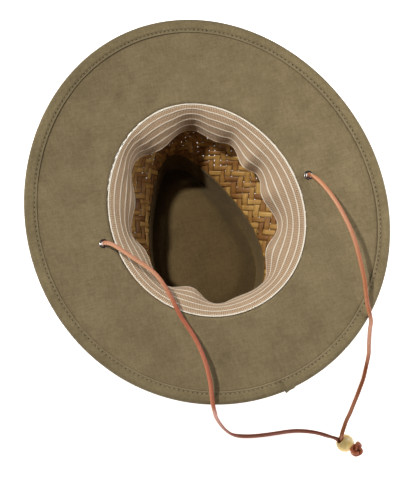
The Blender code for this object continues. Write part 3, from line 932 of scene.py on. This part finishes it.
def straw_finish():
    finish = Finish("split seagrass", 0.5, sheen=0.05)
    strip = finish.node("ShaderNodeAttribute", {"attribute_name": "strip"}, output="Fac")
    pick = finish.node("ShaderNodeTexWhiteNoise", {"noise_dimensions": "1D"}, {"W": strip})
    across = finish.uv("X")
    along = finish.uv("Y")
    stretch = finish.node(
        "ShaderNodeCombineXYZ", None, {"X": across * 7, "Y": along * 0.25, "Z": strip * 3.7}
    )
    streak = finish.noise(1.0, 4.0, vector=stretch)
    patch = finish.node("ShaderNodeCombineXYZ", None, {"X": along * 0.45, "Y": strip * 7.3, "Z": 0.0})
    blotch = finish.noise(1.0, 2.0, vector=patch)
    tone = (pick * 0.5 + blotch * 1.0 + streak * 0.5 - 0.52).clipped()
    stops = (
        (0.0, (0.17, 0.062, 0.014)),
        (0.35, (0.34, 0.155, 0.036)),
        (0.7, (0.60, 0.35, 0.092)),
        (1.0, (0.88, 0.62, 0.24)),
    )
    # Painted shade: each strip is darkened along its two long edges, in the gaps between strips.
    rim = (((across - 0.5).math("ABSOLUTE") - 0.40) * 8).clipped()
    finish.colour(finish.mix(rim * 0.7, finish.ramp(tone, stops), (0.10, 0.035, 0.01)))
    finish.roughness(0.36 + streak * 0.3)
    finish.bump(streak, 0.5, 0.0004)
    return finish


def make_plait(name, swap, finish):
    """One of the sheet's two sets of strips. The weft is the set with its ways swapped."""
    bm = bmesh.new()
    layers = bm.loops.layers.uv.new("UVMap"), bm.faces.layers.float.new("strip")
    turn = STRIP_TURN + (math.pi / 2 if swap else 0)
    along_way = np.array((math.cos(turn), math.sin(turn)))
    across_way = np.array((-math.sin(turn), math.cos(turn)))
    if swap:
        across_way = -across_way
    reach = int(straw_radius / STRIP) + 2
    for k in range(-reach, reach):
        number = k + WEFT_NUMBERS if swap else k
        add_strip(bm, layers, number, along_way, across_way, k + 0.5, swap)
    loose = [vert for vert in bm.verts if not vert.link_faces]
    bmesh.ops.delete(bm, geom=loose, context="VERTS")
    bmesh.ops.dissolve_degenerate(bm, dist=MERGE, edges=bm.edges)
    plait = add_piece(name, bm, finish)
    add_wall(plait, STRIP_THICK, 0)
    plait.modifiers["wall"].use_even_offset = False
    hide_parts("straw_band")


straw_material = straw_finish()
make_plait("straw_warp", False, straw_material)
make_plait("straw_weft", True, straw_material)


# The canvas top of the crown: a skirt lapped over the straw, a rounded ridge and the pinched dent
# that shows from inside as a raised, tear-shaped middle. The lining's rows fill the dent's crease,
# where the ridge's two folds meet.

DENT_LINING = (
    # height, reach, width, egg
    (0.0115, 0.7395, 0.5005, -0.38),
    (0.0123, 0.7240, 0.4860, -0.37),
    (0.0142, 0.6880, 0.4520, -0.36),
    (0.0172, 0.635, 0.400, -0.33),
    (0.0194, 0.585, 0.352, -0.31),
    (0.0207, 0.500, 0.285, -0.30),
    (0.0218, 0.300, 0.165, -0.30),
    (0.0222, 0.000, 0.000, -0.30),
)
DENT_ROWS = 25
SKIRT_ROWS = 16
SIDE_ROWS = 24
LINING_ROWS = 28
CAP_AROUND = 240
CAP_WAVE = 0.0003
SHARP = 0.5
FOLD_WIDTH = 0.0018
FOLD_LAP = 0.0006
FOLD_WAVE = 0.0003
FOLD_ARCH = 0.0004
FOLD_THICK = 0.0005


def dent_spot(height, reach, width, egg, angle):
    x, y = oval(reach * HEAD_LENGTH / 2, width * HEAD_WIDTH / 2, egg, angle)
    return Vector((x, y + OPENING_Y, height))


def cap_rows():
    """The canvas top's profile as functions of the angle, from under the dent to over it."""
    skirt = STRAW_FOOT + SKIRT_LAP
    rows = []
    for share in np.linspace(1, 0, DENT_ROWS):
        rise, reach, width, egg = read_table(DENT_SECTIONS, share)
        rows.append(lambda a, form=(rise * CROWN_DENT, reach, width, egg): dent_spot(*form, a))
    for height in skirt * np.linspace(0, 1, SKIRT_ROWS)[1:] ** 1.3:
        rows.append(lambda a, h=height: crown_point(h, a))
    for height in np.linspace(skirt, DENT_LINING[0][0] + GAP, SIDE_ROWS):
        rows.append(lambda a, h=height: crown_inside(h, a, CANVAS))
    lining = [(i, *row) for i, row in enumerate(DENT_LINING)]
    for step in (0, 0.06, 0.14, *np.linspace(0.25, len(DENT_LINING) - 1, LINING_ROWS)):
        rows.append(lambda a, form=tuple(read_table(lining, step)): dent_spot(*form, a))
    return rows


rows_of_cap = cap_rows()


def cap_surface(u, v):
    spot = rows_of_cap[round(v * (len(rows_of_cap) - 1))](2 * math.pi * u)
    if v > 0.5:
        spot.z += CAP_WAVE * noise(Vector((spot.x * 40, spot.y * 40, 2)))
    return spot


# Painted shade: the crown's canvas is the brim's cloth darkened, for the shade inside the upturned
# crown.
cap_canvas_with_shade = canvas("crown canvas with painted shade", (0.63, 0.545, 0.37))
cap_sheet = grid_sheet(CAP_AROUND, len(rows_of_cap) - 1, cap_surface)
cap = add_piece("crown_canvas", cap_sheet, cap_canvas_with_shade)
face_out(cap, lambda bm: bm.calc_volume(signed=True) > 0)
bm = bmesh.new()
bm.from_mesh(cap.data)
for edge in bm.edges:
    edge.smooth = edge.calc_face_angle(0) < SHARP
bm.to_mesh(cap.data)
bm.free()
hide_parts("crown_cap")


def fold_surface(u, v):
    """The canvas's folded edge, laid over the cut ends of the straw."""
    wave = FOLD_WAVE * noise(Vector((u * 90, 3, 1)))
    height = STRAW_FOOT - FOLD_LAP + FOLD_WIDTH * v + wave
    arch = FOLD_ARCH * (1 - (2 * v - 1) ** 2)
    return crown_inside(height, 2 * math.pi * u, STRAW_INSET + STRAW + arch)


crown_fold = add_piece("crown_fold", grid_sheet(300, 4, fold_surface), cap_canvas_with_shade)
add_wall(crown_fold, FOLD_THICK, 0)


# The sweatband: beige ribbed cotton with six cream cords woven along it, sewn flat at the head
# opening and standing into the crown in loose waves.

SWEATBAND_WIDTH = 0.0350
SWEATBAND = 0.0012
SWEATBAND_SEAM = 0.0005
SWEATBAND_PANELS = 5
SWEATBAND_RIBS = 340
CORD_RISE = 0.00055
CORD_REACH = 0.00085
KNEE_INSET = 0.42
KNEE_DROP = 0.1
RIM_CORD = 0.0008
RIM_CORD_FROM = 0.93
RIM_CORD_SIZE = 1.3
SEAM_STITCHES = 272
SEAM_STITCH_LENGTH = 0.0013
SEAM_STITCH_WIDTH = 0.0005
SEAM_PLACE = 0.918
FRAY_LENGTH = 0.0050
FRAY_WIDTH = 0.0004
FRAY_OUT = 0.0012
FRAYS = (
    # angle in degrees, place across the band
    (173.5, 0.985),
    (176.0, 0.03),
)
SWEATBAND_WAVES = (
    # angle in degrees, inset as a share of the band's width
    (13.0, 0.36),
    (31.5, 0.60),
    (43.0, 0.47),
    (60.0, 0.85),
    (71.0, 0.62),
    (90.0, 0.89),
    (109.0, 0.62),
    (134.0, 0.88),
    (153.0, 0.53),
    (176.0, 0.60),
    (190.0, 0.54),
    (210.0, 0.83),
    (232.0, 0.61),
    (256.0, 0.74),
    (275.0, 0.56),
    (295.0, 0.70),
    (324.0, 0.36),
    (345.0, 0.70),
)


def wave_inset(angle):
    degrees = math.degrees(angle)
    for here, after in zip(SWEATBAND_WAVES, SWEATBAND_WAVES[1:] + SWEATBAND_WAVES[:1]):
        span = (after[0] - here[0]) % 360
        part = (degrees - here[0]) % 360
        if part < span:
            ease = (1 - math.cos(math.pi * part / span)) / 2
            return here[1] + (after[1] - here[1]) * ease
    return SWEATBAND_WAVES[0][1]


def sweatband_base(u, v):
    """The band's smooth face: v is 0 at the free edge and 1 at the seam."""
    angle = 2 * math.pi * u
    share = 1 - v
    inset = wave_inset(angle) * SWEATBAND_WIDTH
    drop = math.sqrt(SWEATBAND_WIDTH**2 - inset**2)
    bow = 2 * share * (1 - share)
    in_by = bow * min(KNEE_INSET * SWEATBAND_WIDTH, 0.8 * inset) + share**2 * inset
    down_by = bow * KNEE_DROP * SWEATBAND_WIDTH + share**2 * drop
    x, y = opening_point(angle, SWEATBAND_SEAM + in_by)
    return Vector((x, y, CROWN_HEIGHT - down_by))


def sweatband_surface(u, v):
    """The band's face with its cords standing out, the one at the seam thicker than the rest."""
    step = 0.002
    spot = sweatband_base(u, v)
    around = sweatband_base(u + step, v) - sweatband_base(u - step, v)
    across = sweatband_base(u, min(v + step, 1)) - sweatband_base(u, max(v - step, 0))
    normal = around.cross(across).normalized()
    if normal.dot(Vector((-spot.x, -spot.y, 0.3 * HEAD_LENGTH))) < 0:
        normal = -normal
    beat = v * SWEATBAND_PANELS
    off = abs(beat - round(beat)) * SWEATBAND_WIDTH / SWEATBAND_PANELS
    thick = 1.0
    if v > RIM_CORD_FROM:
        off = abs((1 - v) * SWEATBAND_WIDTH - RIM_CORD)
        thick = RIM_CORD_SIZE
    cord = thick * max(0.0, 1 - (off / (CORD_REACH * thick)) ** 2) ** 0.5
    return spot + normal * CORD_RISE * cord


def sweatband_finish():
    finish = Finish("ribbed sweatband", 0.92, sheen=0.15)
    across = finish.uv("Y") * SWEATBAND_PANELS
    along = finish.uv("X")
    beat = (across + 0.5).math("FRACT") - 0.5
    cord = (1 - (beat.math("ABSOLUTE") - 0.065) * 30).clipped() * 0.85
    cord = cord.math("MAXIMUM", ((finish.uv("Y") - 0.949) * 160).clipped())
    fuzz = finish.noise(1500, 3.0)
    cloud = finish.noise(60, 3.0)
    ribs = along * (2 * math.pi * SWEATBAND_RIBS) + fuzz * 2.0 + cloud * 4.0
    ribs = ribs.math("SINE") * 0.5 + 0.5
    rows = (across * (2 * math.pi * 4)).math("SINE") * 0.5 + 0.5
    shade = (ribs * 0.55 + rows * 0.2 + fuzz * 0.6 + cloud * 0.3 - 0.36).clipped()
    body = finish.mix(shade, (0.28, 0.172, 0.096), (0.72, 0.53, 0.355))
    finish.colour(finish.mix(cord * (0.8 + fuzz * 0.3), body, (0.99, 0.92, 0.78)))
    finish.bump(ribs * 0.6 + rows * 0.3 + fuzz * 0.6 + cord * 0.5, 0.6, 0.0006)
    return finish


sweatband_sheet = grid_sheet(420, 60, sweatband_surface)
sweatband = add_piece("sweatband_cotton", sweatband_sheet, sweatband_finish())
face_out(sweatband, lambda bm: max(bm.faces, key=lambda f: f.calc_center_median().z).normal.z > 0)
add_wall(sweatband, SWEATBAND, -1)
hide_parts("sweatband")

seam_thread = Finish("seam thread", 0.8, sheen=0.2)
seam_thread.colour((0.90, 0.80, 0.64))

seam = []
for step in range(SEAM_STITCHES):
    u = step / SEAM_STITCHES
    here = sweatband_surface(u, SEAM_PLACE)
    way = (sweatband_surface(u + 0.001, SEAM_PLACE) - here).normalized()
    normal = way.cross(sweatband_surface(u, SEAM_PLACE - 0.01) - here).normalized()
    seam.append((here, way, normal if normal.z > 0 else -normal))

frayed = []
for degrees, v in FRAYS:
    for step in range(5):
        here = sweatband_surface((degrees + 1.6 * step - 3.0) / 360, v)
        way = Vector((noise(Vector((step, v, 1))), noise(Vector((step, v, 5))), 0.25)).normalized()
        frayed.append((here + way * FRAY_OUT, way, way.orthogonal()))

frayed_ends = add_stitches("sweatband_frays", frayed, FRAY_LENGTH, FRAY_WIDTH, seam_thread)
seam_row = add_stitches(
    "sweatband_stitches", seam, SEAM_STITCH_LENGTH, SEAM_STITCH_WIDTH, seam_thread
)


# The eyelets: dark nickelled steel, a domed flange over the canvas and a barrel rolled over below.

EYELET_FLANGE = 0.0042
EYELET_HOLE = 0.00225
EYELET_STANDING = 0.0009

steel_finish = Finish("dark nickel", 0.22, metallic=1.0)
steel_finish.colour((0.30, 0.29, 0.28))
steel_finish.roughness(steel_finish.noise(900) * 0.2 + 0.14)


def spin_profile(profile):
    """A closed profile of radius and height, spun round the Z axis."""
    bm = bmesh.new()
    verts = [bm.verts.new((radius, 0, height)) for radius, height in profile]
    edges = [bm.edges.new((a, b)) for a, b in zip(verts, verts[1:] + verts[:1])]
    bmesh.ops.spin(
        bm, geom=verts + edges, axis=(0, 0, 1), cent=(0, 0, 0), angle=2 * math.pi, steps=48,
        use_merge=True,
    )
    bmesh.ops.recalc_face_normals(bm, faces=bm.faces)
    return bm


def make_eyelet(side):
    """The flange's dome, the barrel through the brim and the dome rolled over below it."""
    middle = (EYELET_FLANGE + EYELET_HOLE) / 2
    half = (EYELET_FLANGE - EYELET_HOLE) / 2
    under = -BRIM - GAP
    above, below = [], []
    for step in range(9):
        out, up = half * math.cos(math.pi * step / 8), EYELET_STANDING * math.sin(math.pi * step / 8)
        above.append((middle - out, GAP + up))
        below.append((middle + out, under - up))
    bm = spin_profile([*above, (EYELET_BARREL, GAP), (EYELET_BARREL, under), *below])
    bmesh.ops.transform(bm, matrix=eyelet_place(side), verts=bm.verts)
    piece = add_piece("eyelet_ring_" + side, bm, steel_finish)
    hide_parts("eyelet_" + side)


for side in EYELETS:
    make_eyelet(side)


# The bead and the knot: a waxed wooden ball that slides on both ends of the lace, and the ends
# tied behind it in an overhand knot. The laces come last, because the left one carries both.

BEAD = 0.0160
BEAD_BORE = 0.0072
BEAD_PLACE = (0.0687, -0.2158)
BEAD_TURN = math.radians(137.0)
BEAD_TILT = math.radians(38.0)
KNOT_TURN = math.radians(-50.0)
KNOT_TILT = math.radians(50.0)
KNOT_SHIFT = (-0.0008, -0.0012, 0.0004)
KNOT_RING = 0.0040
KNOT_LOOP = 0.0018
KNOT_RISE = 0.0019
KNOT_STEPS = 96
KNOT_WIDTH = 0.0046
KNOT_THICK = 0.0026


def facing(turn, tilt):
    """The turn that brings Z to face a way, given by its compass angle and its tilt upwards."""
    level = math.cos(tilt)
    way = Vector((level * math.cos(turn), level * math.sin(turn), math.sin(tilt)))
    return way.to_track_quat("Z", "Y").to_matrix()


def wood():
    finish = Finish("waxed wood", 0.35, coat=0.25)
    rings = finish.noise(120, 3.0, (1, 1, 0.25))
    streak = finish.noise(500, 2.0, (1, 0.15, 1))
    stops = ((0.0, (0.58, 0.31, 0.05)), (0.45, (0.84, 0.56, 0.16)), (1.0, (0.98, 0.84, 0.46)))
    finish.colour(finish.ramp((rings * 1.3 + streak * 0.5 - 0.28).clipped(), stops))
    finish.bump(streak, 0.1, 0.0003)
    return finish


def make_bead():
    """A ball with its bore, turned so that the bore faces the two strands."""
    radius = BEAD / 2
    face = math.acos(BEAD_BORE / BEAD)
    turns = np.linspace(face, -face, 25)
    bm = spin_profile([(radius * math.cos(turn), radius * math.sin(turn)) for turn in turns])
    place = Matrix.Translation((*BEAD_PLACE, radius)) @ facing(BEAD_TURN, BEAD_TILT).to_4x4()
    bmesh.ops.transform(bm, matrix=place, verts=bm.verts)
    piece = add_piece("wooden_bead", bm, wood())
    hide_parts("cord_bead")
    return piece


def make_knot():
    """An overhand knot's closed form, in the box of the solid that it replaces."""
    low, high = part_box("cord_knot")
    centre = (Vector(low) + Vector(high)) / 2 + Vector(KNOT_SHIFT)
    turn = facing(KNOT_TURN, KNOT_TILT)
    route = []
    for step in range(KNOT_STEPS + 1):
        angle = 2 * math.pi * step / KNOT_STEPS
        ring = KNOT_RING + KNOT_LOOP * math.cos(3 * angle)
        x, y = ring * math.cos(2 * angle), ring * math.sin(2 * angle)
        spot = centre + turn @ Vector((x, y, KNOT_RISE * math.sin(3 * angle)))
        route.append((*spot, 90))
    piece = make_lace("lace_knot", np.array(route), KNOT_WIDTH, KNOT_THICK, leathers["knot"])
    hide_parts("cord_knot")
    return piece


bead = make_bead()
knot = make_knot()

for side, points, length in (
    ("left", LEFT_ROUTE, LEFT_LENGTH),
    ("right", RIGHT_ROUTE, RIGHT_LENGTH),
):
    route = smooth_route(points, LACE_STEP)
    lace = make_lace("lace_" + side, route, LACE_WIDTH, LACE_THICK, leathers[side])
    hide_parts("chin_cord_" + side)

crown_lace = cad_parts["chin_cord_crown"]
crown_lace.data.materials.clear()
crown_lace.data.materials.append(leathers["left"].material)
